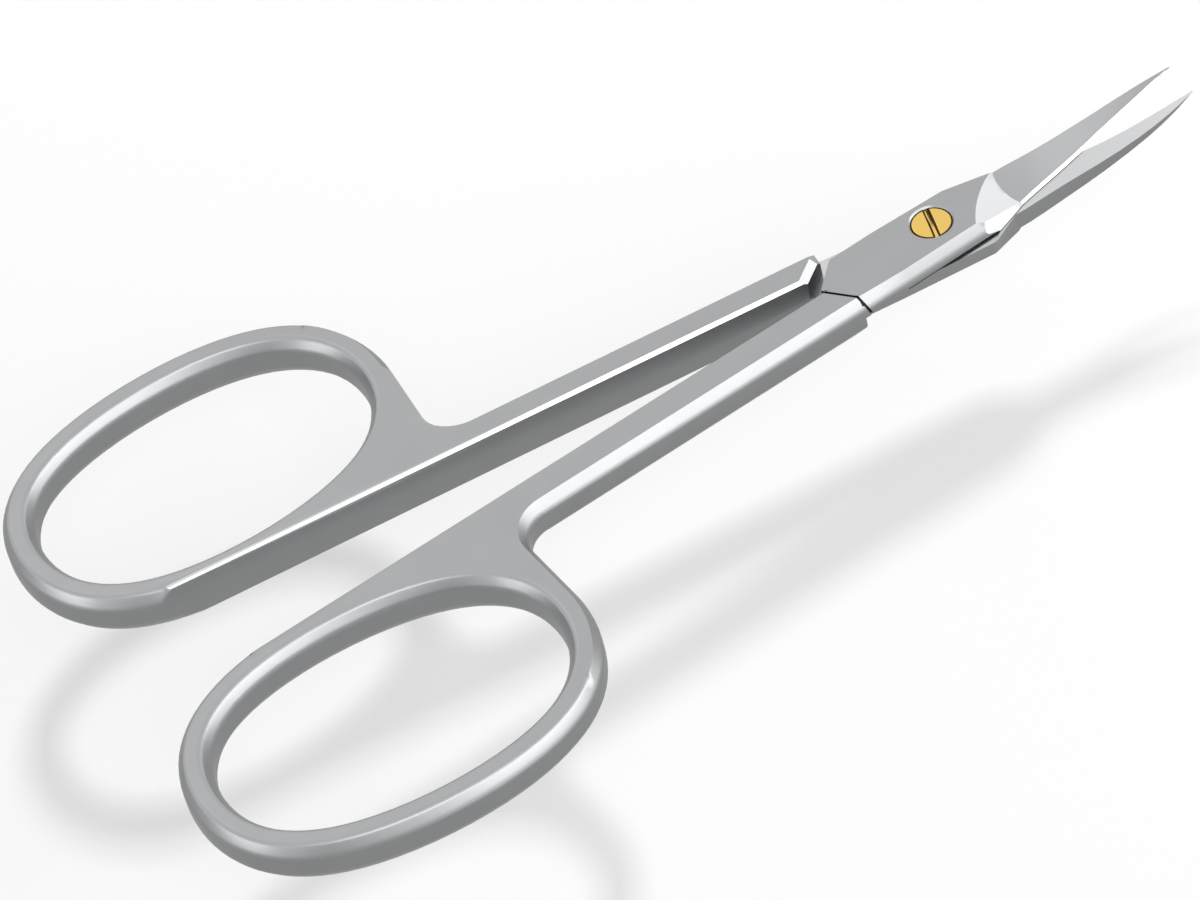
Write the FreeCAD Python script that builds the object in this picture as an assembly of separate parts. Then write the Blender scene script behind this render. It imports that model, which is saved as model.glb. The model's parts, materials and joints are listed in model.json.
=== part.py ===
"""Cuticle scissors: two ground steel halves, lapped and turning on one slotted pivot screw.

Millimetres. The origin lies on the pivot axis in the plane that the closed pair rests on,
+X runs to the points, +Y to the back half's finger ring and +Z up out of the screw's head.
The front half is drawn closed, with its shank on the -Y side. The back half is the same
forging turned over about the X axis, with the blade hollow on the other face. Both are then
opened by the same angle.
"""
import FreeCAD, Part
import math
import os

Vector = FreeCAD.Vector
UP = Vector(0, 0, 1)

# Whole tool
thickness = 3.45
half_opening = 4.1
lap_gap = 0.05
closing_gap = 0.08

# How far a cutting tool runs past what it cuts, and the plate's round side past the lap
overrun = 1.0
side_overrun = 0.15

# Finger ring, with the clear opening measured between the crests of the bevels
finger_length = 25.6
finger_width = 16.9
ring_setback = 53.3
ring_wall = 2.0
ring_tilt = 6.6
ring_square_share = 0.023
land_width = 1.15
bevel_width = 0.6
bevel_drop = 0.9
crest_radius = 1.0
ring_points = 32
ring_blend_turn = 100.0

# Shank
shank_width = 2.91
under_bevel_width = 0.76
neck_radius = 3.2
inner_chamfer = 0.24
lean_at_shoulder = 0.1
lean_at_ring = 0.42

# Shoulder where the shank drops to the lap
shoulder_setback = 10.1
shoulder_angle = 43.0
shoulder_chamfer_width = 0.55
shoulder_chamfer_drop = 0.4
plate_clearance = 0.25
corner_setback = 7.3
corner_lean = 0.87

# Pivot plate, with the reach of its sides at the top face, on the crest and down at the lap
plate_side_reach = 2.5
plate_crest_reach = 2.97
plate_foot_reach = 2.8
plate_taper = 0.15
plate_waist_setback = 4.3
plate_lap_reach = 2.95
plate_hump_setback = 3.9

# Its rounded outer corner on the front half, then on the wider back half
front_reach = 2.13
front_corner_x = 2.35
front_corner_drop = 0.18
front_corner_radius = 1.6
back_reach = 2.33
back_corner_x = 3.5
back_corner_drop = 0.05
back_corner_radius = 0.8

# Ridge along the blade's outer side, then how much wider and lower the back half's is
ridge_width = 0.15
ridge_drop = 0.65
back_width = 0.28
back_ridge_drop = 1.05

# Ground line across the front face between the shank and the plate
groove_width = 0.2
groove_depth = 0.18
groove_setback = 8.15
groove_lean = 19.0

# Blade
tip_reach = 21.4
bend_start = 4.2
bend_radius = 71.0
heel_x = 3.6
heel_rake = 0.4
blade_root_x = 6.11
blade_root_edge_x = 6.52
blade_root_spine = 0.93
blade_root_edge = 1.83
blade_root_height = 1.62
strip_width = 0.16
strip_height = 0.29
strip_past_share = 0.02
strip_reach_share = 4
point_size = 0.06

# Stations of the blade as shares of its length, then its sizes there as shares of those at the root
station_shares = [0.0, 0.14, 0.27, 0.4, 0.53, 0.66, 0.78, 0.9]
edge_shares = [1.0, 0.8, 0.66, 0.51, 0.35, 0.24, 0.16, 0.09]
spine_shares = [1.0, 0.78, 0.63, 0.6, 0.6, 0.55, 0.44, 0.25]
height_shares = [1.0, 0.98, 0.9, 0.77, 0.61, 0.46, 0.33, 0.18]
back_width_shares = [1.0, 1.0, 1.0, 1.0, 0.98, 0.92, 0.8, 0.5]
least_strip_share = 0.5

# Polished facet that drops from the plate to the blade
facet_foot_x = 1.75
facet_foot_reach = 3.25
facet_mid_x = 3.45
facet_mid_reach = 0.8
facet_head_past = 0.12
facet_edge_past = 1.0
facet_step = 0.15
facet_scallop = 0.4

# Pivot screw
head_diameter = 3.0
head_height = 0.8
head_recess = 0.1
head_edge = 0.08
head_clearance = 0.04
seat_gap = 0.03
countersink_rim = 0.12
journal_diameter = 2.2
journal_clearance = 0.03
thread_diameter = 2.0
end_recess = 0.08
slot_width = 0.54
slot_depth = 0.35
slot_angle = 15.0

# Worked out from the sizes above
middle = thickness / 2
lap_half = lap_gap / 2
meet = closing_gap / 2
outer_reach = meet + shank_width
finger_a = finger_length / 2
finger_b = finger_width / 2
ring_offset = ring_wall + finger_b
land_a = finger_a + bevel_width + land_width
land_b = finger_b + bevel_width + land_width
grip_end = -groove_setback
shoulder_slope = math.tan(math.radians(shoulder_angle))


def polygon(points):
    """Closed wire of straight edges."""
    return Part.makePolygon(list(points) + [points[0]])


def prism(points, direction):
    """Solid swept from a flat polygon."""
    return Part.Face(polygon(points)).extrude(direction)


def oval(turn, half_length, half_width):
    """Point and outward normal of the slightly squared oval of the finger ring, at one angle."""
    k = ring_square_share
    local = Vector(half_length * ((1 + k) * math.cos(turn) - k * math.cos(3 * turn)),
                   half_width * ((1 + k) * math.sin(turn) + k * math.sin(3 * turn)), 0)
    along = Vector(half_length * (3 * k * math.sin(3 * turn) - (1 + k) * math.sin(turn)),
                   half_width * ((1 + k) * math.cos(turn) + 3 * k * math.cos(3 * turn)), 0)
    tilt = FreeCAD.Rotation(UP, -ring_tilt)
    centre = Vector(-ring_setback, -ring_offset, 0)
    normal = Vector(along.y, -along.x, 0).normalize()
    return centre + tilt.multVec(local), tilt.multVec(normal)


def solve(function, low, high):
    """Root of a function that rises from below zero to above it."""
    for _ in range(50):
        centre = (low + high) / 2
        if function(centre) < 0:
            low = centre
        else:
            high = centre
    return (low + high) / 2


def grip_wire(height, grown, reach):
    """Outline of the ring and shank at one height: ring, neck fillet, shank and a blind inner side."""
    a = land_a + grown
    b = land_b + grown
    radius = neck_radius - grown
    lift = Vector(0, 0, height)
    turn_right = solve(lambda turn: oval(turn, a, b)[1].y, -math.pi / 4, math.pi / 4)
    turn_top = math.radians(ring_blend_turn)
    span = turn_right + 2 * math.pi - turn_top
    ring = [oval(turn_top + span * i / ring_points, a, b)[0] + lift for i in range(ring_points + 1)]
    curve = Part.BSplineCurve()
    curve.interpolate(ring)
    side = ring[-1]
    neck = Vector(side.x, -reach - radius, height)
    centre = neck + Vector(radius, 0, 0)
    foot = centre + Vector(0, radius, 0)
    between = centre + Vector(-1, 1, 0).normalize() * radius
    front = Vector(grip_end, -reach, height)
    inner = Vector(grip_end, overrun, height)
    back = Vector(ring[0].x, overrun, height)
    edges = [curve.toShape(), Part.makeLine(side, neck), Part.Arc(neck, between, foot).toShape(),
             Part.makeLine(foot, front), Part.makeLine(front, inner), Part.makeLine(inner, back),
             Part.makeLine(back, ring[0])]
    return Part.Wire(edges)


def hole_wire(height, grown):
    """Closed oval of the finger hole at one height."""
    turns = [2 * math.pi * i / ring_points for i in range(ring_points)]
    points = [oval(t, finger_a + grown, finger_b + grown)[0] + Vector(0, 0, height) for t in turns]
    curve = Part.BSplineCurve()
    curve.interpolate(points, PeriodicFlag=True)
    return Part.Wire(curve.toShape())


def bevel_levels():
    """Depths below a flat face, with the share of the bevel's width reached there, round its crest."""
    lean = math.atan2(bevel_width, bevel_drop)
    trim = crest_radius * math.tan(lean / 2)
    start = bevel_drop - trim * math.cos(lean)
    start_share = 1 - trim * math.sin(lean) / bevel_width
    crest = bevel_drop + trim - crest_radius * math.sin(lean / 2)
    crest_share = 1 - crest_radius * (1 - math.cos(lean / 2)) / bevel_width
    return [(0, 0), (start, start_share), (crest, crest_share), (bevel_drop + trim, 1)]


def grip():
    """Ring, neck and shank with their bevels, and the inner side ground to meet the other shank."""
    rising = bevel_levels()
    falling = rising[::-1]
    under = [grip_wire(depth, bevel_width * share, outer_reach - under_bevel_width * (1 - share))
             for depth, share in rising]
    over = [grip_wire(thickness - depth, bevel_width * share, outer_reach - bevel_width * (1 - share))
            for depth, share in falling]
    hole = [hole_wire(-bevel_drop, 2 * bevel_width)]
    hole += [hole_wire(depth, bevel_width * (1 - share)) for depth, share in rising]
    hole += [hole_wire(thickness - depth, bevel_width * (1 - share)) for depth, share in falling]
    hole.append(hole_wire(thickness + bevel_drop, 2 * bevel_width))
    blank = Part.makeLoft(under + over, True, True)
    return blank.cut(Part.makeLoft(hole, True, True)).cut(inner_side())


def inner_side():
    """What the inner side is ground away by: upright above the middle, leaning and chamfered below."""
    far = -ring_setback - land_a - overrun
    top = thickness + overrun
    chamfer = inner_chamfer

    def section(x, lean):
        return polygon([Vector(x, -meet, thickness - chamfer),
                        Vector(x, -meet, middle),
                        Vector(x, -meet - lean, chamfer),
                        Vector(x, -meet - lean - chamfer, 0),
                        Vector(x, -meet - lean - chamfer, -overrun),
                        Vector(x, 2 * overrun, -overrun),
                        Vector(x, 2 * overrun, top),
                        Vector(x, -meet - chamfer - overrun, top),
                        Vector(x, -meet - chamfer, thickness)])

    return Part.makeLoft([section(far, lean_at_ring), section(overrun, lean_at_shoulder)], True, True)


def shoulder():
    """What the lower half of the front end is cut away by, from the shoulder to beyond the plate."""
    low = -overrun
    reach = 2 * outer_reach
    run = reach / shoulder_slope
    base = lap_half + middle - low
    plan = [Vector(-shoulder_setback, reach, low), Vector(-shoulder_setback, 0, low),
            Vector(-shoulder_setback + run, -reach, low), Vector(tip_reach, -reach, low),
            Vector(tip_reach, reach, low)]
    cut = prism(plan, UP * base)
    along = Vector(1 / shoulder_slope, -1, 0).normalize()
    out = Vector(-along.y, along.x, 0)
    foot = Vector(-shoulder_setback, 0, 0) - along * overrun
    brink = foot - out * shoulder_chamfer_width
    beyond = foot + out * overrun
    edge = [brink, brink - UP * overrun, beyond - UP * overrun, beyond + UP * shoulder_chamfer_drop,
            foot + UP * shoulder_chamfer_drop]
    cut = cut.fuse(prism(edge, along * (2 * reach)))
    corner = [Vector(-corner_setback, -reach, middle + lap_half),
              Vector(-corner_setback - corner_lean * (middle + overrun), -reach, -overrun),
              Vector(tip_reach, -reach, -overrun), Vector(tip_reach, -reach, middle + lap_half)]
    return cut.fuse(prism(corner, Vector(0, reach, 0)))


def plate_wire(height, near, far, bend):
    """Outline of the pivot plate at one height, from the shank's end to the blade's root."""
    front = bend > 0
    top = front_reach if front else back_reach
    corner_x = front_corner_x if front else back_corner_x
    radius = front_corner_radius if front else back_corner_radius
    flare = (plate_lap_reach - top) * (thickness - height) / middle
    reach = top + flare
    corner_reach = reach - (front_corner_drop if front else back_corner_drop)
    root_reach = blade_root_spine + (0 if front else back_width)
    apex = Vector(-shoulder_setback + plate_clearance / math.sin(math.radians(shoulder_angle)), 0, 0)
    head = Vector(apex.x + (reach - meet) / shoulder_slope, reach - meet, 0)
    hump = Vector(-plate_hump_setback, reach, 0)
    corner = Vector(corner_x, corner_reach, 0)
    root = Vector(blade_root_x, root_reach, 0)
    slope_in = (corner - hump).normalize()
    slope_out = (root - corner).normalize()
    trim = radius * math.tan(slope_in.getAngle(slope_out) / 2)
    start = corner - slope_in * trim
    end = corner + slope_out * trim
    round_mid = corner + (start + end - corner * 2) / 4
    skew = (blade_root_edge_x - blade_root_x) / (root_reach + blade_root_edge)
    lower_reach = far - plate_taper
    lower_root = Vector(blade_root_x + (root_reach + lower_reach) * skew, -lower_reach, 0)
    waist = Vector(-plate_waist_setback, -far, 0)
    seam = Vector(grip_end, -near, 0)
    inside = Vector(grip_end - overrun, -meet - inner_chamfer, 0)
    lift = Vector(0, 0, height)
    inner_apex = Vector(apex.x, -meet, 0)
    edges = [Part.makeLine(inner_apex + lift, head + lift), Part.makeLine(head + lift, hump + lift),
             Part.makeLine(hump + lift, start + lift),
             Part.Arc(start + lift, round_mid + lift, end + lift).toShape(),
             Part.makeLine(end + lift, root + lift), Part.makeLine(root + lift, lower_root + lift),
             Part.makeLine(lower_root + lift, waist + lift), Part.makeLine(waist + lift, seam + lift),
             Part.makeLine(seam + lift, inside + lift), Part.makeLine(inside + lift, inner_apex + lift)]
    return Part.Wire(edges)


def plate(bend):
    """Pivot plate as a blank, its outer side round from the top face to the crest and down to the lap."""
    levels = bevel_levels()[::-1]
    crest = thickness - levels[0][0]
    low = middle - side_overrun
    tuck = (plate_crest_reach - plate_foot_reach) * (crest - low) / (crest - middle)
    wires = [plate_wire(height, outer_reach, plate_crest_reach - tuck, bend) for height in (-overrun, low)]
    for depth, share in levels:
        near = outer_reach - bevel_width * (1 - share)
        far = plate_crest_reach - (plate_crest_reach - plate_side_reach) * (1 - share)
        wires.append(plate_wire(thickness - depth, near, far, bend))
    return Part.makeLoft(wires, True, True)


def lap_height(x, bend):
    """Height of the lap surface at a distance from the pivot: flat, then bent up (1) or down (-1)."""
    past = max(x - bend_start, 0)
    return middle + bend * (bend_radius - math.sqrt(bend_radius ** 2 - past ** 2))


def lap_mould(offset, bend):
    """Solid below the lap surface, moved up by an offset: round ahead of the pivot, flat behind it."""
    far = tip_reach + overrun
    low = Vector(0, 0, -2 * overrun)
    flat = Vector(0, 0, middle + offset)
    start = Vector(bend_start, 0, middle + offset)
    half = bend_start + (far - bend_start) / 2
    mid = Vector(half, 0, lap_height(half, bend) + offset)
    end = Vector(far, 0, lap_height(far, bend) + offset)
    edges = [Part.makeLine(low, flat), Part.makeLine(flat, start), Part.Arc(start, mid, end).toShape(),
             Part.makeLine(end, Vector(far, 0, -2 * overrun)),
             Part.makeLine(Vector(far, 0, -2 * overrun), low)]
    ahead = Part.Face(Part.Wire(edges)).revolve(Vector(0, 0, 0), UP, 180)
    ahead.rotate(Vector(0, 0, 0), UP, -90)
    behind = Part.makeBox(far, 2 * far, middle + offset + 2 * overrun, Vector(-far, -far, -2 * overrun))
    return ahead.fuse(behind)


def blade_section(index, bend):
    """Wedge section of the blade at one station: below the lap, cutting edge, strip, spine, ridge."""
    along = station_shares[index]
    share = height_shares[index]
    edge_x = blade_root_edge_x + (tip_reach - blade_root_edge_x) * along
    spine_x = blade_root_x + (tip_reach - blade_root_x) * along
    edge_y = -blade_root_edge * edge_shares[index]
    wider = 0 if bend > 0 else back_width * back_width_shares[index]
    drop = (ridge_drop if bend > 0 else back_ridge_drop) * share
    spine_y = blade_root_spine * spine_shares[index] + wider
    skew = (edge_x - spine_x) / (spine_y - edge_y)
    size = least_strip_share + (1 - least_strip_share) * share
    lean = strip_width / strip_height

    def point(y, z):
        return Vector(spine_x + (spine_y - y) * skew, y, z)

    edge_z = lap_height(edge_x, bend)
    foot = point(edge_y - lean * overrun, edge_z - overrun)
    strip = point(edge_y + strip_width * size, edge_z + strip_height * size)
    top = lap_height(spine_x, bend) + blade_root_height * share
    back = spine_y + ridge_width * share
    return [foot, strip, point(spine_y, top), point(back, top - drop), point(back, edge_z - overrun)]


def blade(bend):
    """Blade from the end of the facet to the point, with a stub that runs into the plate."""
    wires = [polygon(blade_section(i, bend)) for i in range(len(station_shares))]
    z = lap_height(tip_reach, bend)
    tip = [Vector(tip_reach, -point_size, z - overrun), Vector(tip_reach, -point_size / 2, z + point_size),
           Vector(tip_reach, point_size / 2, z + point_size), Vector(tip_reach, point_size, z),
           Vector(tip_reach, point_size, z - overrun)]
    wires.append(polygon(tip))
    stub = prism(blade_section(0, bend), Vector(-overrun, 0, 0))
    return Part.makeLoft(wires, True, False).fuse(stub)


def facet(bend):
    """What the polished facet is ground by: over a curve on the plate, down to a hollow line."""
    root = blade_section(0, bend)
    strip, spine = root[1], root[2]
    length = (spine - strip).Length
    out = (spine - strip).normalize()

    def hollow(reach):
        dip = facet_scallop * (1 - (2 * reach / length - 1) ** 2)
        return strip + out * reach - Vector(dip, 0, 0)

    low, high = hollow(-facet_edge_past), hollow(length + facet_head_past)
    head = Vector(high.x - facet_step, high.y, thickness)
    arc = Part.Arc(Vector(facet_foot_x, -facet_foot_reach, thickness),
                   Vector(facet_mid_x, -facet_mid_reach, thickness), head).toShape()
    line = Part.Arc(low, hollow(length / 2), high).toShape()
    past = Vector(2 * overrun, 0, 0)
    rim = [Part.makeLine(high, high + past), Part.makeLine(high + past, low + past),
           Part.makeLine(low + past, low)]
    face = Part.makeRuledSurface(arc, line)
    beyond = Part.Face(Part.Wire([line] + rim))
    return face.extrude(UP * (2 * thickness)).fuse(beyond.extrude(UP * (2 * thickness)))


def strip_cutter(bend):
    """What the edge strip is ground by near the heel, from a steep side to the blade's own strip."""
    root = blade_section(0, bend)
    foot, strip = root[0], root[1]
    heel_high = Vector(heel_x - heel_rake, strip_width - plate_foot_reach, thickness - bevel_drop)
    heel_foot = Vector(heel_x, -plate_foot_reach, middle)
    rise = (strip - foot) * ((middle - foot.z) / (strip.z - foot.z))
    at_lap = foot + rise

    def line(level):
        start = heel_foot + (heel_high - heel_foot) * level
        end = at_lap + (strip - at_lap) * level
        step = end - start
        return Part.makeLine(start - step, end + step * strip_past_share)

    face = Part.makeRuledSurface(line(-strip_reach_share), line(strip_reach_share))
    return face.extrude(Vector(0, -2 * plate_foot_reach, 0))


def groove():
    """Narrow line across the top face and down the side, between the shank and the plate."""
    apex = Vector(-shoulder_setback + plate_clearance / math.sin(math.radians(shoulder_angle)), -meet, 0)
    corner = Vector(grip_end, meet + bevel_width - outer_reach, 0)
    along = (corner - apex).normalize()
    side = Vector(-along.y, along.x, 0) * (groove_width / 2)
    low = UP * (thickness - groove_depth)
    start = apex - along * overrun + low
    end = corner + along * (groove_width / 2) + low
    top = prism([start - side, end - side, end + side, start + side], UP * overrun)
    x = grip_end - groove_width / 2
    reach = outer_reach - groove_depth
    profile = [Vector(x, -outer_reach - overrun, thickness + overrun),
               Vector(x, bevel_width - reach, thickness + overrun),
               Vector(x, bevel_width - reach, thickness),
               Vector(x, -reach, thickness - bevel_drop),
               Vector(x, -reach, -overrun), Vector(x, -outer_reach - overrun, -overrun)]
    side_cut = prism(profile, Vector(groove_width, 0, 0))
    side_cut.rotate(Vector(grip_end, 0, thickness), Vector(0, 1, 0), -groove_lean)
    return top.fuse(side_cut)


def half(bend):
    """One half in the closed pose, lying as the front half does."""
    ground = plate(bend).cut(facet(bend)).cut(strip_cutter(bend))
    ground = max(ground.Solids, key=lambda solid: solid.Volume)
    head = ground.fuse(blade(bend)).cut(lap_mould(lap_half, bend))
    head = max(head.Solids, key=lambda solid: solid.Volume)
    return grip().cut(shoulder()).fuse(head).removeSplitter()


def disc(diameter, low, high, edge=0.0):
    """Round bar on the pivot axis, with its top edge broken."""
    radius = diameter / 2
    points = [Vector(0, 0, low), Vector(radius, 0, low), Vector(radius, 0, high - edge)]
    if edge:
        points.append(Vector(radius - edge, 0, high))
    points.append(Vector(0, 0, high))
    return Part.Face(polygon(points)).revolve(Vector(0, 0, 0), UP, 360)


def front_half():
    """Half with the screw's head sunk in it, opened by its share of the angle."""
    seat = thickness - head_recess - head_height - seat_gap
    bore = disc(journal_diameter + 2 * journal_clearance, 0, thickness)
    well = disc(head_diameter + 2 * head_clearance, seat, thickness + overrun)
    radius = head_diameter / 2 + head_clearance
    rim = Part.makeCone(radius - overrun, radius + countersink_rim + overrun,
                        2 * overrun + countersink_rim,
                        Vector(0, 0, thickness - overrun - countersink_rim), UP)
    shape = half(1).cut(groove()).cut(bore).cut(well).cut(rim)
    shape.rotate(Vector(0, 0, 0), UP, half_opening)
    return shape


def back_half():
    """Half that the screw is made fast in, turned over and opened the other way."""
    shape = half(-1)
    shape.rotate(Vector(0, 0, middle), Vector(1, 0, 0), 180)
    shape = shape.cut(disc(thread_diameter, -overrun, thickness))
    shape.rotate(Vector(0, 0, 0), UP, -half_opening)
    return shape


def pivot_screw():
    """Screw with a slotted flat head, a journal and a thinner end made fast in the back half."""
    top = thickness - head_recess
    under = top - head_height
    shape = disc(head_diameter, under, top, head_edge)
    shape = shape.fuse(disc(journal_diameter, middle - lap_half, under))
    shape = shape.fuse(disc(thread_diameter, end_recess, middle - lap_half)).removeSplitter()
    half_slot = slot_width / 2
    slot = Part.makeBox(slot_width, 2 * head_diameter, overrun,
                        Vector(-half_slot, -head_diameter, top - slot_depth))
    slot.rotate(Vector(0, 0, 0), UP, -slot_angle)
    return shape.cut(slot)


def export(name, shape):
    print(name, "solids", len(shape.Solids), "valid", shape.isValid(), "volume", round(shape.Volume, 2))
    shape.exportStep("parts/" + name + ".step")


def main():
    os.makedirs("parts", exist_ok=True)
    export("front_half", front_half())
    export("back_half", back_half())
    export("pivot_screw", pivot_screw())


main()
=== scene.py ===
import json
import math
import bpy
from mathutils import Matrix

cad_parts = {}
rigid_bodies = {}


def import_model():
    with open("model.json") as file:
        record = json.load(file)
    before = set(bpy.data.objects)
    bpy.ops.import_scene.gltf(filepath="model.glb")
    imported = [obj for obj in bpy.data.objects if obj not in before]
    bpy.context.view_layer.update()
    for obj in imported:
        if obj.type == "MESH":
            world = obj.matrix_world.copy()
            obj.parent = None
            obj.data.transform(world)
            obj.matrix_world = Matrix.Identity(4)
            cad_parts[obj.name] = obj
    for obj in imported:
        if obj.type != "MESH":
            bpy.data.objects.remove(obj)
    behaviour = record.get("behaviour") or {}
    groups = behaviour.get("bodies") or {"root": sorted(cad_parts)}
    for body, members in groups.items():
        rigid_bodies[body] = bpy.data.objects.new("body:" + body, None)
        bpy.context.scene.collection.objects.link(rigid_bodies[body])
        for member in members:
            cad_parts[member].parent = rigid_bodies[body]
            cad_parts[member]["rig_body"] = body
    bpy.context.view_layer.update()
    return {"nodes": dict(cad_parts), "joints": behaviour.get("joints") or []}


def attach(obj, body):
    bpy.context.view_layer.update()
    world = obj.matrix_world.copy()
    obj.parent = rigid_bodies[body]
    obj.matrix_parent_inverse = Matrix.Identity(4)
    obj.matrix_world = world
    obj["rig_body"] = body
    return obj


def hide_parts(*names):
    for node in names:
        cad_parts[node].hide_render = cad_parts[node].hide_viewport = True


bl_info = {
    "name": "Cuticle Scissors",
    "version": (1, 0, 0),
    "blender": (4, 5, 0),
    "location": "3D View > Sidebar > Scissors",
    "description": "Dresses a pair of cuticle scissors in blasted, ground and polished steel",
    "category": "Object",
}

import bmesh
import bpy
from bpy.props import FloatProperty, FloatVectorProperty, PointerProperty
from bpy.types import Operator, Panel, PropertyGroup
from mathutils import Matrix, Vector

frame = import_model()
MM = 0.001
TINY = 0.0001 * MM

# Places on a half, with the pivot at the origin and the half closed
HALF_OPENING = -math.radians(frame["joints"][0]["range_deg"][0]) / 2
THICKNESS = 3.45 * MM
GRIP_END = -8.15 * MM
GROOVE_REACH = (-9.1 * MM, -7.4 * MM)
GROOVE_SIDE = -2.85 * MM
GROOVE_TOP = 3.28 * MM
JOINT_SHADOW_REACH = 1 * MM
NOOK_START = GRIP_END + 1 * MM
NOOK_SIDE = -2 * MM
LAP_LEVEL = THICKNESS / 4
HEEL = 1.7 * MM
RING_END = -38 * MM
NECK_START = -40.5 * MM

# Least cosine between the normals of two surfaces that meet in a soft crest
SOFT_CREST = math.cos(math.radians(20))


def linear(hex_colour):
    """Linear RGB of an sRGB hex colour."""
    values = [int(hex_colour[i:i + 2], 16) / 255 for i in (1, 3, 5)]
    return tuple(v / 12.92 if v <= 0.04045 else ((v + 0.055) / 1.055) ** 2.4 for v in values)


def colour(name, description, hex_colour):
    """Colour property with an sRGB hex colour as its default."""
    return FloatVectorProperty(name=name, description=description, default=linear(hex_colour),
                               subtype="COLOR", size=3, min=0, max=1)


class FinishSettings(PropertyGroup):
    """Colours and surface sizes of the scissors' metals, and the colours of the shade and shadow painted on
    them.
    """
    satin_colour: colour("Blasted steel", "Colour of the bead-blasted steel", "#ACADAE")
    satin_shade: colour("Blasted shade", "Darker tone that clouds the blasted steel", "#A6A7A8")
    polish_colour: colour("Polished steel", "Colour of the polished chamfers and facets", "#D9DADB")
    ground_colour: colour("Ground steel", "Colour of the ground lap faces", "#D6D7D8")
    ground_shade: colour("Ground shade", "Darker tone of the grinding lines", "#CCCDCE")
    # Painted shade: the dark colour of the steep wall in the nook beside the lap.
    nook_shade_colour: colour("Painted nook shade", "Dark colour painted as shade on the steep wall in the nook", "#55565A")
    # Painted shade and shadow: the dark colour in the ground line and beside the lap.
    painted_shade_colour: colour("Painted shade", "Dark colour painted as shade in the ground line and as shadow beside the lap", "#232325")
    brass_colour: colour("Brass", "Colour of the pivot screw", "#EBC66C")
    # Painted shade: the dark brass on the slot's sides and round the head.
    brass_shade_colour: colour("Painted brass shade", "Dark colour painted as shade on the slot's sides and round the head", "#4A3412")
    grit_size: FloatProperty(name="Grit size", description="Width of a blasting dimple",
                             default=0.11 * MM, unit="LENGTH")
    grit_depth: FloatProperty(name="Grit depth", description="Depth of a blasting dimple",
                              default=0.004 * MM, unit="LENGTH")
    cloud_size: FloatProperty(name="Cloud size", description="Width of the clouds on the blasted steel",
                              default=3 * MM, unit="LENGTH")
    line_spacing: FloatProperty(name="Grinding spacing", description="Distance of the grinding lines",
                                default=0.06 * MM, unit="LENGTH")
    line_depth: FloatProperty(name="Grinding depth", description="Depth of the grinding lines",
                              default=0.001 * MM, unit="LENGTH")
    ring_spacing: FloatProperty(name="Turning spacing", description="Distance of the rings on the brass",
                                default=0.05 * MM, unit="LENGTH")
    # Painted shadow: width and fade of the black line beside the lap.
    joint_shadow_width: FloatProperty(name="Joint shadow width", description="Width of the shadow painted beside the lap",
                               default=0.15 * MM, unit="LENGTH")
    joint_shadow_fade: FloatProperty(name="Joint shadow fade", description="Width over which the painted shadow fades out",
                              default=0.07 * MM, unit="LENGTH")
    edge_rounding: FloatProperty(name="Edge rounding",
                                 description="Width of the rounding on the rings' edges",
                                 default=0.25 * MM, unit="LENGTH")


class ScrewSettings(PropertyGroup):
    """Shape of the pivot screw's head."""
    crown: FloatProperty(name="Crown", description="Height of the head's crown over its edge",
                         default=0.09 * MM, unit="LENGTH")
    crown_step: FloatProperty(name="Crown step", description="Width of the facets on the crown",
                              default=0.15 * MM, unit="LENGTH")
    slot_depth: FloatProperty(name="Slot depth", description="Depth at which the solid's slot ends",
                              default=0.35 * MM, unit="LENGTH")
    slot_turn: FloatProperty(name="Slot turn", description="Turn of the slot from the Y axis",
                             default=math.radians(-15), unit="ROTATION")
    slot_floor_share: FloatProperty(name="Slot floor width",
                                    description="Share of the slot's width at its floor", default=0.42)
    slot_floor_depth: FloatProperty(name="Slot floor depth",
                                    description="Depth of the slot's floor, which is filled with grime",
                                    default=0.15 * MM, unit="LENGTH")


class StageSettings(PropertyGroup):
    """Floor, lamps and camera."""
    floor_drop: FloatProperty(name="Floor drop", description="Distance of the floor below the scissors",
                              default=10 * MM, unit="LENGTH")
    floor_size: FloatProperty(name="Floor size", description="Half the length of the floor's sides",
                              default=3, unit="LENGTH")
    floor_colour: colour("Floor", "Colour of the floor", "#FFFFFF")
    floor_glow_share: FloatProperty(name="Floor glow",
                                    description="Share of the floor's white that no shadow darkens",
                                    default=0.42)
    card_colour: colour("Grey card", "Colour of the cards that darken the metal", "#C2C2C2")
    card_glow: FloatProperty(name="Card glow", description="Brightness of the glowing cards", default=1.6)
    card_lift: FloatProperty(name="Card lift", description="Distance between the floor and the lowest card",
                             default=0.1 * MM, unit="LENGTH")
    lens: FloatProperty(name="Focal length", description="Focal length of the camera in millimetres",
                        default=179.63)
    surroundings: FloatProperty(name="Surroundings", description="Soft light on matt things", default=0.3)
    key: FloatProperty(name="Key lamp", description="Brightness of the lamp behind", default=54)
    front: FloatProperty(name="Front lamp", description="Brightness of the lamps in front", default=2.0)


def add_node(tree, kind, settings=None, links=None):
    """Adds a node, sets its properties and sockets, and links other nodes' outputs into it."""
    node = tree.nodes.new(kind)
    for key, value in (settings or {}).items():
        if isinstance(key, str) and hasattr(node, key):
            setattr(node, key, value)
        else:
            node.inputs[key].default_value = value
    for key, output in (links or {}).items():
        tree.links.new(output, node.inputs[key])
    return node


def start_material(name, shader_kind="ShaderNodeBsdfPrincipled", settings=None):
    """New material with one shader on its output."""
    material = bpy.data.materials.new(name)
    material.use_nodes = True
    tree = material.node_tree
    tree.nodes.clear()
    shader = add_node(tree, shader_kind, settings)
    add_node(tree, "ShaderNodeOutputMaterial", None, {"Surface": shader.outputs[0]})
    return material, tree, shader


def four(rgb):
    """Colour with full alpha."""
    return (*rgb, 1)


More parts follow.
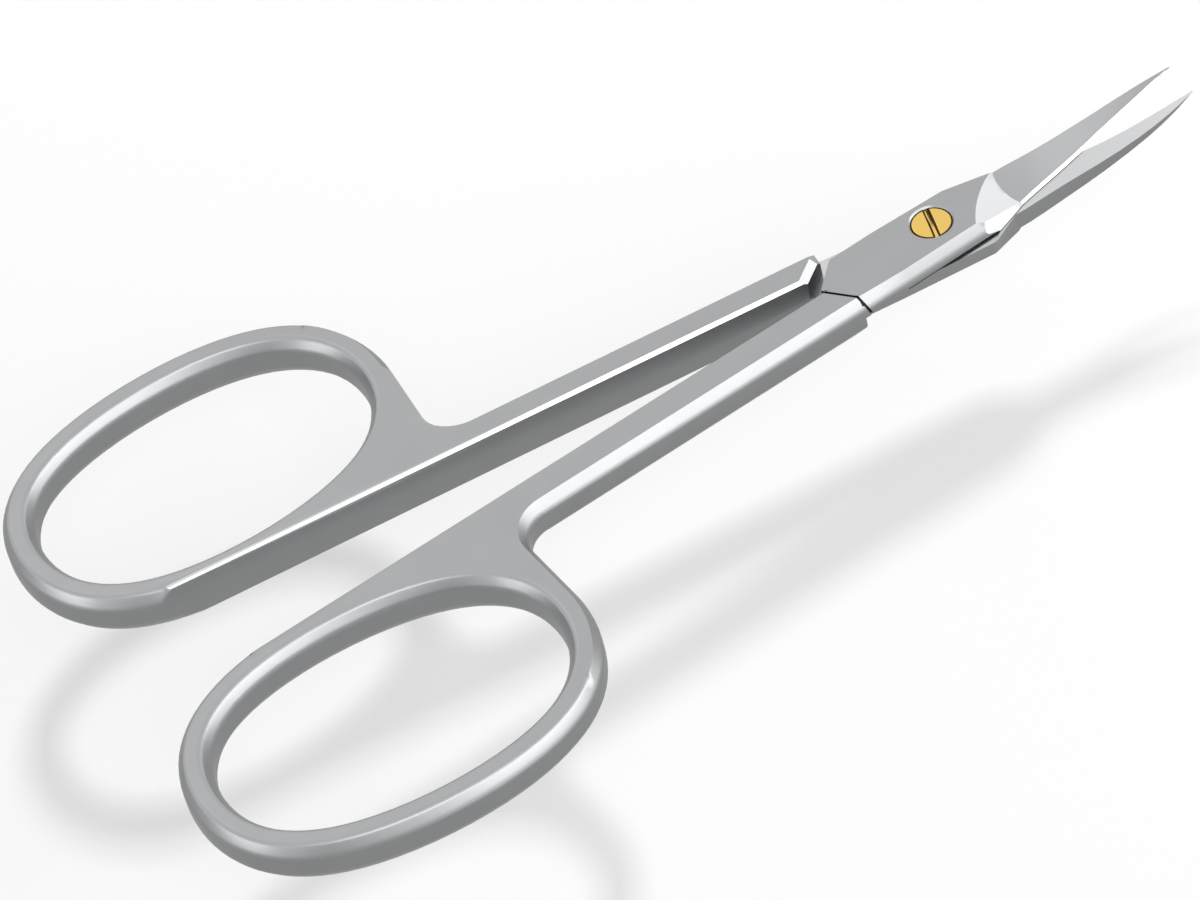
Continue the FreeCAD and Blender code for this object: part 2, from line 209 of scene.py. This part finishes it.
def blasted_steel(finish):
    """Martensitic stainless steel, bead blasted: fine even dimples give it a soft grey satin."""
    material, tree, shader = start_material("bead_blasted_stainless_steel", settings={"Metallic": 1})
    place = add_node(tree, "ShaderNodeTexCoord").outputs["Object"]
    grit = add_node(tree, "ShaderNodeTexNoise", {"Scale": 1 / finish.grit_size, "Detail": 2},
                    {"Vector": place})
    cloud = add_node(tree, "ShaderNodeTexNoise", {"Scale": 1 / finish.cloud_size, "Detail": 2},
                     {"Vector": place})
    tone = add_node(tree, "ShaderNodeMix", {"data_type": "RGBA", 6: four(finish.satin_shade),
                                            7: four(finish.satin_colour)},
                    {"Factor": cloud.outputs["Fac"]})
    rough = add_node(tree, "ShaderNodeMapRange", {"To Min": 0.3, "To Max": 0.42},
                     {"Value": grit.outputs["Fac"]})
    dimples = add_node(tree, "ShaderNodeBump", {"Strength": 0.6, "Distance": finish.grit_depth},
                       {"Height": grit.outputs["Fac"]})
    for socket, output in (("Base Color", tone.outputs[2]), ("Roughness", rough.outputs[0]),
                           ("Normal", dimples.outputs[0])):
        tree.links.new(output, shader.inputs[socket])
    return material


def polished_steel(finish):
    """Stainless steel polished on a felt wheel: a bright mirror with faint drag lines."""
    material, tree, shader = start_material("polished_stainless_steel", settings={
        "Metallic": 1, "Base Color": four(finish.polish_colour)})
    place = add_node(tree, "ShaderNodeTexCoord").outputs["Object"]
    drawn = add_node(tree, "ShaderNodeMapping", {"Scale": (0.1, 1, 1)}, {"Vector": place})
    lines = add_node(tree, "ShaderNodeTexNoise", {"Scale": 1 / finish.line_spacing, "Detail": 2},
                     {"Vector": drawn.outputs[0]})
    rough = add_node(tree, "ShaderNodeMapRange", {"To Min": 0.1, "To Max": 0.22},
                     {"Value": lines.outputs["Fac"]})
    tree.links.new(rough.outputs[0], shader.inputs["Roughness"])
    return material


def ground_steel(finish):
    """Stainless steel surface ground flat: straight fine lines along the blade."""
    material, tree, shader = start_material("ground_stainless_steel", settings={"Metallic": 1})
    place = add_node(tree, "ShaderNodeTexCoord").outputs["Object"]
    drawn = add_node(tree, "ShaderNodeMapping", {"Scale": (0.04, 1, 1)}, {"Vector": place})
    lines = add_node(tree, "ShaderNodeTexNoise", {"Scale": 1 / finish.line_spacing, "Detail": 3},
                     {"Vector": drawn.outputs[0]})
    tone = add_node(tree, "ShaderNodeMix", {"data_type": "RGBA", 6: four(finish.ground_shade),
                                            7: four(finish.ground_colour)},
                    {"Factor": lines.outputs["Fac"]})
    rough = add_node(tree, "ShaderNodeMapRange", {"To Min": 0.2, "To Max": 0.3},
                     {"Value": lines.outputs["Fac"]})
    ridges = add_node(tree, "ShaderNodeBump", {"Strength": 0.3, "Distance": finish.line_depth},
                      {"Height": lines.outputs["Fac"]})
    for socket, output in (("Base Color", tone.outputs[2]), ("Roughness", rough.outputs[0]),
                           ("Normal", ridges.outputs[0])):
        tree.links.new(output, shader.inputs[socket])
    return material


def nook_shaded_steel(finish):
    """Steel with painted shade: a dull dark colour for the steep wall in the nook beside the lap, where
    shade falls.
    """
    return start_material("steel_painted_with_nook_shade", settings={
        "Metallic": 1, "Roughness": 0.42, "Base Color": four(finish.nook_shade_colour)})[0]


def groove_shaded_steel(finish):
    """Stainless steel with painted shade: a dark colour in the narrow ground line, where shade falls."""
    return start_material("steel_with_painted_groove_shade", settings={
        "Metallic": 0.5, "Roughness": 0.6, "Base Color": four(finish.painted_shade_colour)})[0]


def joint_shadow_steel(finish):
    """Blasted steel with a painted shadow: a black line beside the lap, where the halves meet."""
    material, tree, shader = start_material("steel_with_painted_shadow_at_the_joint", settings={
        "Metallic": 1, "Roughness": 0.4})
    # Painted shadow: dark near the middle height, blasted colour beyond the given width.
    place = add_node(tree, "ShaderNodeTexCoord").outputs["Object"]
    height = add_node(tree, "ShaderNodeSeparateXYZ", None, {"Vector": place}).outputs["Z"]
    offset = add_node(tree, "ShaderNodeMath", {"operation": "SUBTRACT", 1: THICKNESS / 2}, {0: height})
    away = add_node(tree, "ShaderNodeMath", {"operation": "ABSOLUTE"}, {0: offset.outputs[0]})
    unshaded = add_node(tree, "ShaderNodeMapRange", {"From Min": finish.joint_shadow_width,
                                                  "From Max": finish.joint_shadow_width + finish.joint_shadow_fade},
                     {"Value": away.outputs[0]})
    tone = add_node(tree, "ShaderNodeMix", {"data_type": "RGBA", 6: four(finish.painted_shade_colour),
                                            7: four(finish.satin_colour)}, {"Factor": unshaded.outputs[0]})
    tree.links.new(tone.outputs[2], shader.inputs["Base Color"])
    return material


def brass_with_painted_shade(finish):
    """Brass with painted shade: a dark colour on the slot's sides and round the edge of the head."""
    return start_material("brass_with_painted_shade", settings={
        "Metallic": 0.8, "Roughness": 0.4, "Base Color": four(finish.brass_shade_colour)})[0]


def turned_brass(finish):
    """Yellow brass turned on a lathe: a bright face with rings round the pivot axis."""
    material, tree, shader = start_material("turned_brass", settings={
        "Metallic": 1, "Base Color": four(finish.brass_colour)})
    place = add_node(tree, "ShaderNodeTexCoord").outputs["Object"]
    rings = add_node(tree, "ShaderNodeTexWave", {
        "wave_type": "RINGS", "rings_direction": "Z", "Distortion": 0.6, "Detail": 1,
        "Scale": 1 / (2 * math.pi * finish.ring_spacing)}, {"Vector": place})
    rough = add_node(tree, "ShaderNodeMapRange", {"To Min": 0.16, "To Max": 0.26},
                     {"Value": rings.outputs["Fac"]})
    tree.links.new(rough.outputs[0], shader.inputs["Roughness"])
    return material


def dressed_half(node, name, turn, finish):
    """Copy of a half with its doubles merged, its surface normals kept and a finish or painted shade per
    face.

    The turn takes the half to the closed pose, hollow side down, in which its faces are told apart.
    """
    source = frame["nodes"][node].data
    normals = [corner.vector.copy() for corner in source.corner_normals]
    mesh = bpy.data.meshes.new(name)
    shape = bmesh.new()
    shape.from_mesh(source)
    for patch in patches(shape):
        area = sum(face.calc_area() for face in patch)
        facing = turn @ (sum((face.normal * face.calc_area() for face in patch), Vector()) / area)
        centre = turn @ (sum((face.calc_center_median() * face.calc_area() for face in patch),
                             Vector()) / area)
        kind = finish_of_face(facing, centre)
        for face in patch:
            face.material_index = kind
            face.smooth = True
    bmesh.ops.remove_doubles(shape, verts=shape.verts, dist=TINY)
    shape.to_mesh(mesh)
    shape.free()
    if len(mesh.loops) != len(normals):
        raise RuntimeError(name + " lost faces when its doubles were merged")
    normals = soft_crests(mesh, normals)
    mesh.normals_split_custom_set(normals)
    mark_ring_edges(mesh, normals)
    for make in (blasted_steel, polished_steel, ground_steel, nook_shaded_steel, groove_shaded_steel, joint_shadow_steel):
        mesh.materials.append(make(finish))
    obj = bpy.data.objects.new(name, mesh)
    round_edges(obj, finish.edge_rounding)
    ride_for(obj, node)


def ride_for(obj, node):
    """Puts a piece in the scene, on the body of the CAD node that it stands in for, and hides that node."""
    bpy.context.scene.collection.objects.link(obj)
    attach(obj, frame["nodes"][node]["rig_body"])
    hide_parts(node)


def round_edges(obj, width):
    """Rounds the edges that carry a weight, with the faces beside them left flat."""
    rounding = obj.modifiers.new("tumbled_edges", "BEVEL")
    rounding.limit_method = "WEIGHT"
    rounding.width = width
    rounding.segments = 3
    rounding.use_clamp_overlap = False
    rounding.loop_slide = False
    rounding.harden_normals = True


def soft_crests(mesh, normals):
    """Corner normals blended across the edges where two surfaces meet at a low angle."""
    around = [[] for _ in mesh.vertices]
    for face in mesh.polygons:
        for i in face.loop_indices:
            around[mesh.loops[i].vertex_index].append((i, face.area))
    blended = list(normals)
    for corners in around:
        for i, _ in corners:
            total = Vector()
            for j, area in corners:
                if normals[i].dot(normals[j]) > SOFT_CREST:
                    total += normals[j] * area
            blended[i] = total.normalized()
    return blended


def mark_ring_edges(mesh, normals):
    """Gives the hard upper edges of the finger ring a weight, so that they are rounded.

    The outer ones end short of the neck, where the solid's own blend starts.
    """
    weights = mesh.attributes.new("bevel_weight_edge", "FLOAT", "EDGE")
    ring = [vertex.co for vertex in mesh.vertices if vertex.co.x < RING_END]
    centre = Vector([(min(co[i] for co in ring) + max(co[i] for co in ring)) / 2 for i in (0, 1)])
    sides = {}
    for face in mesh.polygons:
        corners = list(face.loop_indices)
        for i, after in zip(corners, corners[1:] + corners[:1]):
            sides.setdefault(mesh.loops[i].edge_index, []).append((normals[i], normals[after]))
    for index, found in sides.items():
        ends = [mesh.vertices[i].co for i in mesh.edges[index].vertices]
        facing = sum((normal for pair in found for normal in pair), Vector())
        inside = facing.to_2d().dot((ends[0] + ends[1]).to_2d() / 2 - centre) < 0
        hard = len(found) == 2 and found[0][0].dot(found[1][1]) < SOFT_CREST
        upper = min(normal.z for pair in found for normal in pair) > -PARTLY
        reach = RING_END if inside else NECK_START
        if hard and upper and max(end.x for end in ends) < reach:
            weights.data[index].value = 1


def patches(shape):
    """Groups of faces that are joined through shared corners, one for each face of the solid."""
    seen = set()
    groups = []
    for first in shape.faces:
        if first in seen:
            continue
        seen.add(first)
        group = [first]
        for face in group:
            for corner in face.verts:
                for other in corner.link_faces:
                    if other not in seen:
                        seen.add(other)
                        group.append(other)
        groups.append(group)
    return groups


# The last three are painted: shade on the nook wall, shade in the ground line, and a shadow beside the lap.
SATIN, POLISHED, GROUND, NOOK_SHADE, GROOVE_SHADE, JOINT_SHADOW = range(6)

# Cosines between a face's normal and an axis, from nearly square to it to nearly along it
HARDLY, SLIGHTLY, PARTLY, HALFWAY, MOSTLY, LARGELY, ALMOST = 0.1, 0.2, 0.3, 0.5, 0.6, 0.8, 0.9


def finish_of_face(facing, centre):
    """Finish of a face of a half, or the shade or shadow painted on it, with the half closed and its hollow
    side down.
    """
    behind = centre.x < NOOK_START
    upper = centre.z > THICKNESS / 2
    grooved = upper and GROOVE_REACH[0] < centre.x < GROOVE_REACH[1] and centre.y > GROOVE_SIDE
    sunk = grooved and centre.z < GROOVE_TOP
    # Painted shade: the walls and floor of the ground line get a dark colour.
    if grooved and abs(facing.x) > LARGELY or sunk and (abs(facing.z) > ALMOST or facing.y < -LARGELY):
        return GROOVE_SHADE
    # Painted shadow: the tucked faces beside the lap near the pivot get the black line.
    if facing.y < -ALMOST and facing.z < -SLIGHTLY and abs(centre.x) < JOINT_SHADOW_REACH:
        return JOINT_SHADOW
    # Painted shade: the steep wall in the nook gets a dark colour.
    if behind and abs(facing.x) > MOSTLY and abs(facing.z) < HARDLY and facing.y > MOSTLY:
        return NOOK_SHADE
    if behind and facing.y > HALFWAY and abs(facing.z) > HALFWAY and centre.y > NOOK_SIDE:
        return POLISHED
    if behind and facing.x > PARTLY and facing.z < -PARTLY:
        return POLISHED
    if centre.x > HEEL and facing.z > PARTLY and facing.x > PARTLY:
        return POLISHED
    if centre.x > HEEL and facing.y < -MOSTLY and facing.z > SLIGHTLY and upper:
        return POLISHED
    if facing.z < -ALMOST and centre.x > GRIP_END and centre.z > LAP_LEVEL:
        return GROUND
    return SATIN


class SCISSORS_OT_front_half(Operator):
    """Dress the half that carries the sunk screw head"""
    bl_idname = "scissors.front_half"
    bl_label = "Front half"

    def execute(self, context):
        turn = Matrix.Rotation(-HALF_OPENING, 4, "Z")
        dressed_half("front_half", "front_half_dressed", turn, context.scene.scissor_finish)
        return {"FINISHED"}


class SCISSORS_OT_back_half(Operator):
    """Dress the half that the screw is made fast in"""
    bl_idname = "scissors.back_half"
    bl_label = "Back half"

    def execute(self, context):
        middle = Matrix.Translation((0, 0, THICKNESS / 2))
        over = middle @ Matrix.Rotation(math.pi, 4, "X") @ middle.inverted()
        turn = over @ Matrix.Rotation(HALF_OPENING, 4, "Z")
        dressed_half("back_half", "back_half_dressed", turn, context.scene.scissor_finish)
        return {"FINISHED"}


class SCISSORS_OT_pivot_screw(Operator):
    """Dress the slotted pivot screw"""
    bl_idname = "scissors.pivot_screw"
    bl_label = "Pivot screw"

    def execute(self, context):
        screw = context.scene.scissor_screw
        finish = context.scene.scissor_finish
        shape = bmesh.new()
        shape.from_mesh(frame["nodes"]["pivot_screw"].data)
        bmesh.ops.remove_doubles(shape, verts=shape.verts, dist=TINY)
        crown_head(shape, screw)
        mesh = bpy.data.meshes.new("pivot_screw_dressed")
        shape.to_mesh(mesh)
        shape.free()
        mesh.set_sharp_from_angle(angle=math.radians(30))
        mesh.materials.append(turned_brass(finish))
        mesh.materials.append(brass_with_painted_shade(finish))
        ride_for(bpy.data.objects.new("pivot_screw_dressed", mesh), "pivot_screw")
        return {"FINISHED"}


def top_faces(shape, top):
    """Faces that lie in the screw's flat top."""
    return [face for face in shape.faces if face.calc_center_median().z > top - 10 * TINY]


def crown_head(shape, screw):
    """Raises the screw's flat top to a low crown, narrows the slot's floor and paints shade on its sides
    and round the head's edge.
    """
    top = max(vertex.co.z for vertex in shape.verts)
    reach = max(vertex.co.to_2d().length for face in top_faces(shape, top) for vertex in face.verts)
    steps = int(reach / screw.crown_step)
    for way in (Vector((1, 0, 0)), Vector((0, 1, 0))):
        for step in range(-steps, steps + 1):
            flat = top_faces(shape, top)
            parts = flat + list({edge for face in flat for edge in face.edges})
            parts += list({vertex for face in flat for vertex in face.verts})
            bmesh.ops.bisect_plane(shape, geom=parts, dist=TINY, plane_co=way * step * screw.crown_step,
                                   plane_no=way)
    turn = Matrix.Rotation(screw.slot_turn, 3, "Z")
    floor = top - screw.slot_depth
    for vertex in shape.verts:
        if vertex.co.z > top - 10 * TINY:
            vertex.co.z += screw.crown * (1 - vertex.co.to_2d().length_squared / reach ** 2)
        elif abs(vertex.co.z - floor) < 10 * TINY:
            place = turn.inverted() @ vertex.co
            place.x *= screw.slot_floor_share
            place.z = top - screw.slot_floor_depth
            vertex.co = turn @ place
    shape.normal_update()
    for face in shape.faces:
        face.smooth = True
        level = face.calc_center_median().z
        # Painted shade: faces that don't face up, above the solid's slot floor, get the dark brass.
        face.material_index = int(face.normal.z < ALMOST and level > floor)


def direction(azimuth, elevation):
    """Unit vector towards an azimuth, counted from +X to +Y, and an elevation, in degrees."""
    a, e = math.radians(azimuth), math.radians(elevation)
    return Vector((math.cos(a) * math.cos(e), math.sin(a) * math.cos(e), math.sin(e)))


def facing_centre(azimuth, elevation, distance):
    """Place at a distance from the pivot, turned so that its -Z axis looks at the pivot."""
    way = direction(azimuth, elevation)
    return Matrix.Translation(way * distance) @ way.to_track_quat("Z", "Y").to_matrix().to_4x4()


def lamp(name, azimuth, elevation, size, brightness, distance=0.8):
    """Soft lamp of a given brightness, where 1 shows as white. The camera doesn't see the lamp."""
    data = bpy.data.lights.new(name, "AREA")
    data.shape = "RECTANGLE"
    data.size, data.size_y = size
    data.energy = brightness * math.pi * size[0] * size[1]
    obj = bpy.data.objects.new(name, data)
    bpy.context.scene.collection.objects.link(obj)
    obj.matrix_world = facing_centre(azimuth, elevation, distance)
    obj.visible_camera = False
    return obj


def card(name, place, size, material):
    """Card that darkens or brightens what the metal mirrors. Nothing else sees it."""
    shape = bmesh.new()
    bmesh.ops.create_grid(shape, x_segments=1, y_segments=1, size=0.5)
    bmesh.ops.scale(shape, verts=shape.verts, vec=(size[0], size[1], 1))
    bmesh.ops.transform(shape, verts=shape.verts, matrix=place)
    obj = stage_piece(name, shape, material)
    for way in ("camera", "diffuse", "transmission", "shadow"):
        setattr(obj, "visible_" + way, False)
    return obj


def stage_piece(name, shape, material):
    """Object of the stage from a bmesh."""
    mesh = bpy.data.meshes.new(name)
    shape.to_mesh(mesh)
    shape.free()
    mesh.materials.append(material)
    obj = bpy.data.objects.new(name, mesh)
    bpy.context.scene.collection.objects.link(obj)
    return obj


def seen_directly(tree):
    """1 for rays that come from the camera, or from metal and glass, and 0 for others."""
    path = add_node(tree, "ShaderNodeLightPath")
    glass = add_node(tree, "ShaderNodeMath", {"operation": "MAXIMUM"},
                     {0: path.outputs["Is Glossy Ray"], 1: path.outputs["Is Transmission Ray"]})
    return add_node(tree, "ShaderNodeMath", {"operation": "MAXIMUM"},
                    {0: glass.outputs[0], 1: path.outputs["Is Camera Ray"]}).outputs[0]


def floor_paper(stage):
    """Matt white paper: it keeps the soft shadow and otherwise shows as white."""
    material, tree, mix = start_material("white_paper", "ShaderNodeMixShader")
    matt = add_node(tree, "ShaderNodeBsdfDiffuse", {"Color": four(stage.floor_colour)})
    glow = add_node(tree, "ShaderNodeEmission", {"Color": four(stage.floor_colour), "Strength": 1})
    share = add_node(tree, "ShaderNodeMath", {"operation": "MULTIPLY", 1: stage.floor_glow_share},
                     {0: seen_directly(tree)})
    for socket, output in ((0, share.outputs[0]), (1, matt.outputs[0]), (2, glow.outputs[0])):
        tree.links.new(output, mix.inputs[socket])
    return material


def build_world(stage):
    """White surroundings for what is seen, and a plain soft light on matt things."""
    world = bpy.data.worlds.new("studio")
    world.use_nodes = True
    tree = world.node_tree
    tree.nodes.clear()
    soft = add_node(tree, "ShaderNodeBackground", {"Strength": stage.surroundings,
                                                   "Color": four(stage.floor_colour)})
    white = add_node(tree, "ShaderNodeBackground", {"Strength": 1, "Color": four(stage.floor_colour)})
    mix = add_node(tree, "ShaderNodeMixShader", None,
                   {0: seen_directly(tree), 1: soft.outputs[0], 2: white.outputs[0]})
    add_node(tree, "ShaderNodeOutputWorld", None, {"Surface": mix.outputs[0]})
    return world


def hang_lamps(stage):
    """A key lamp behind, which throws the shadow, and four soft lamps that the metal mirrors."""
    key = lamp("key_lamp", azimuth=62, elevation=50, size=(0.16, 0.16), brightness=stage.key, distance=0.9)
    key.visible_glossy = False
    lamp("front_lamp", azimuth=-45, elevation=22, size=(1.3, 0.5), brightness=stage.front)
    lamp("camera_lamp", azimuth=-100, elevation=45, size=(0.5, 0.3), brightness=stage.front)
    lamp("side_lamp", azimuth=180, elevation=12, size=(0.5, 0.25), brightness=stage.front * 0.8)
    lamp("right_lamp", azimuth=15, elevation=36, size=(0.45, 0.3), brightness=stage.front * 0.1)


def place_cards(stage):
    """Grey cards under and beside the scissors, and glowing ones for the bright bands and the screw."""
    grey = start_material("grey_card", "ShaderNodeEmission", {"Color": four(stage.card_colour)})[0]
    glow = start_material("glowing_card", "ShaderNodeEmission", {"Strength": stage.card_glow})[0]
    low = Matrix.Translation((0, 0, stage.card_lift - stage.floor_drop))
    glow_way = Matrix.Rotation(math.radians(-60), 4, "Z")
    glow_place = Matrix.Translation((0.13, 0, stage.card_lift))
    card("floor_card", low, (0.4, 0.4), grey)
    card("side_card", facing_centre(azimuth=-126, elevation=8, distance=0.6), (0.22, 0.4), grey)
    card("glow_card", glow_way @ glow_place @ low, (0.18, 0.2), glow)
    card("screw_card", facing_centre(azimuth=104, elevation=50, distance=0.6), (0.16, 0.2), glow)


def set_camera(scene, lens):
    """Camera at the photographed view, which was fitted to the outline of the scissors."""
    data = bpy.data.cameras.new("camera")
    data.lens = lens
    data.sensor_width = 36
    data.clip_start = 0.01
    data.clip_end = 20
    camera = bpy.data.objects.new("camera", data)
    scene.collection.objects.link(camera)
    right = Vector((0.85226358, -0.48812433, -0.18809951))
    up = Vector((0.47437885, 0.56961902, 0.67119213))
    back = Vector((-0.22048015, -0.66126304, 0.7170214))
    place = Vector((-0.12116, -0.27821, 0.3011))
    turn = Matrix((right, up, back)).transposed().to_4x4()
    camera.matrix_world = Matrix.Translation(place) @ turn
    scene.camera = camera


class SCISSORS_OT_stage(Operator):
    """Lay the floor, hang the lamps and set the camera"""
    bl_idname = "scissors.stage"
    bl_label = "Stage"

    def execute(self, context):
        stage = context.scene.scissor_stage
        shape = bmesh.new()
        bmesh.ops.create_grid(shape, x_segments=1, y_segments=1, size=stage.floor_size)
        bmesh.ops.translate(shape, verts=shape.verts, vec=(0, 0, -stage.floor_drop))
        stage_piece("floor", shape, floor_paper(stage))
        context.scene.world = build_world(stage)
        hang_lamps(stage)
        place_cards(stage)
        set_camera(context.scene, stage.lens)
        context.scene.view_settings.view_transform = "Standard"
        return {"FINISHED"}


OPERATORS = (SCISSORS_OT_front_half, SCISSORS_OT_back_half, SCISSORS_OT_pivot_screw,
             SCISSORS_OT_stage)


class SCISSORS_PT_panel(Panel):
    """Lists the pieces of the scissors"""
    bl_idname = "SCISSORS_PT_panel"
    bl_label = "Cuticle scissors"
    bl_space_type = "VIEW_3D"
    bl_region_type = "UI"
    bl_category = "Scissors"

    def draw(self, context):
        for operator in OPERATORS:
            self.layout.operator(operator.bl_idname)
        for group in (context.scene.scissor_finish, context.scene.scissor_screw,
                      context.scene.scissor_stage):
            for name in group.__annotations__:
                self.layout.prop(group, name)


CLASSES = (FinishSettings, ScrewSettings, StageSettings, *OPERATORS, SCISSORS_PT_panel)


def register():
    for item in CLASSES:
        bpy.utils.register_class(item)
    bpy.types.Scene.scissor_finish = PointerProperty(type=FinishSettings)
    bpy.types.Scene.scissor_screw = PointerProperty(type=ScrewSettings)
    bpy.types.Scene.scissor_stage = PointerProperty(type=StageSettings)


def unregister():
    del bpy.types.Scene.scissor_finish
    del bpy.types.Scene.scissor_screw
    del bpy.types.Scene.scissor_stage
    for item in reversed(CLASSES):
        bpy.utils.unregister_class(item)


def main():
    register()
    bpy.ops.scissors.front_half()
    bpy.ops.scissors.back_half()
    bpy.ops.scissors.pivot_screw()
    bpy.ops.scissors.stage()


if __name__ == "__main__":
    main()
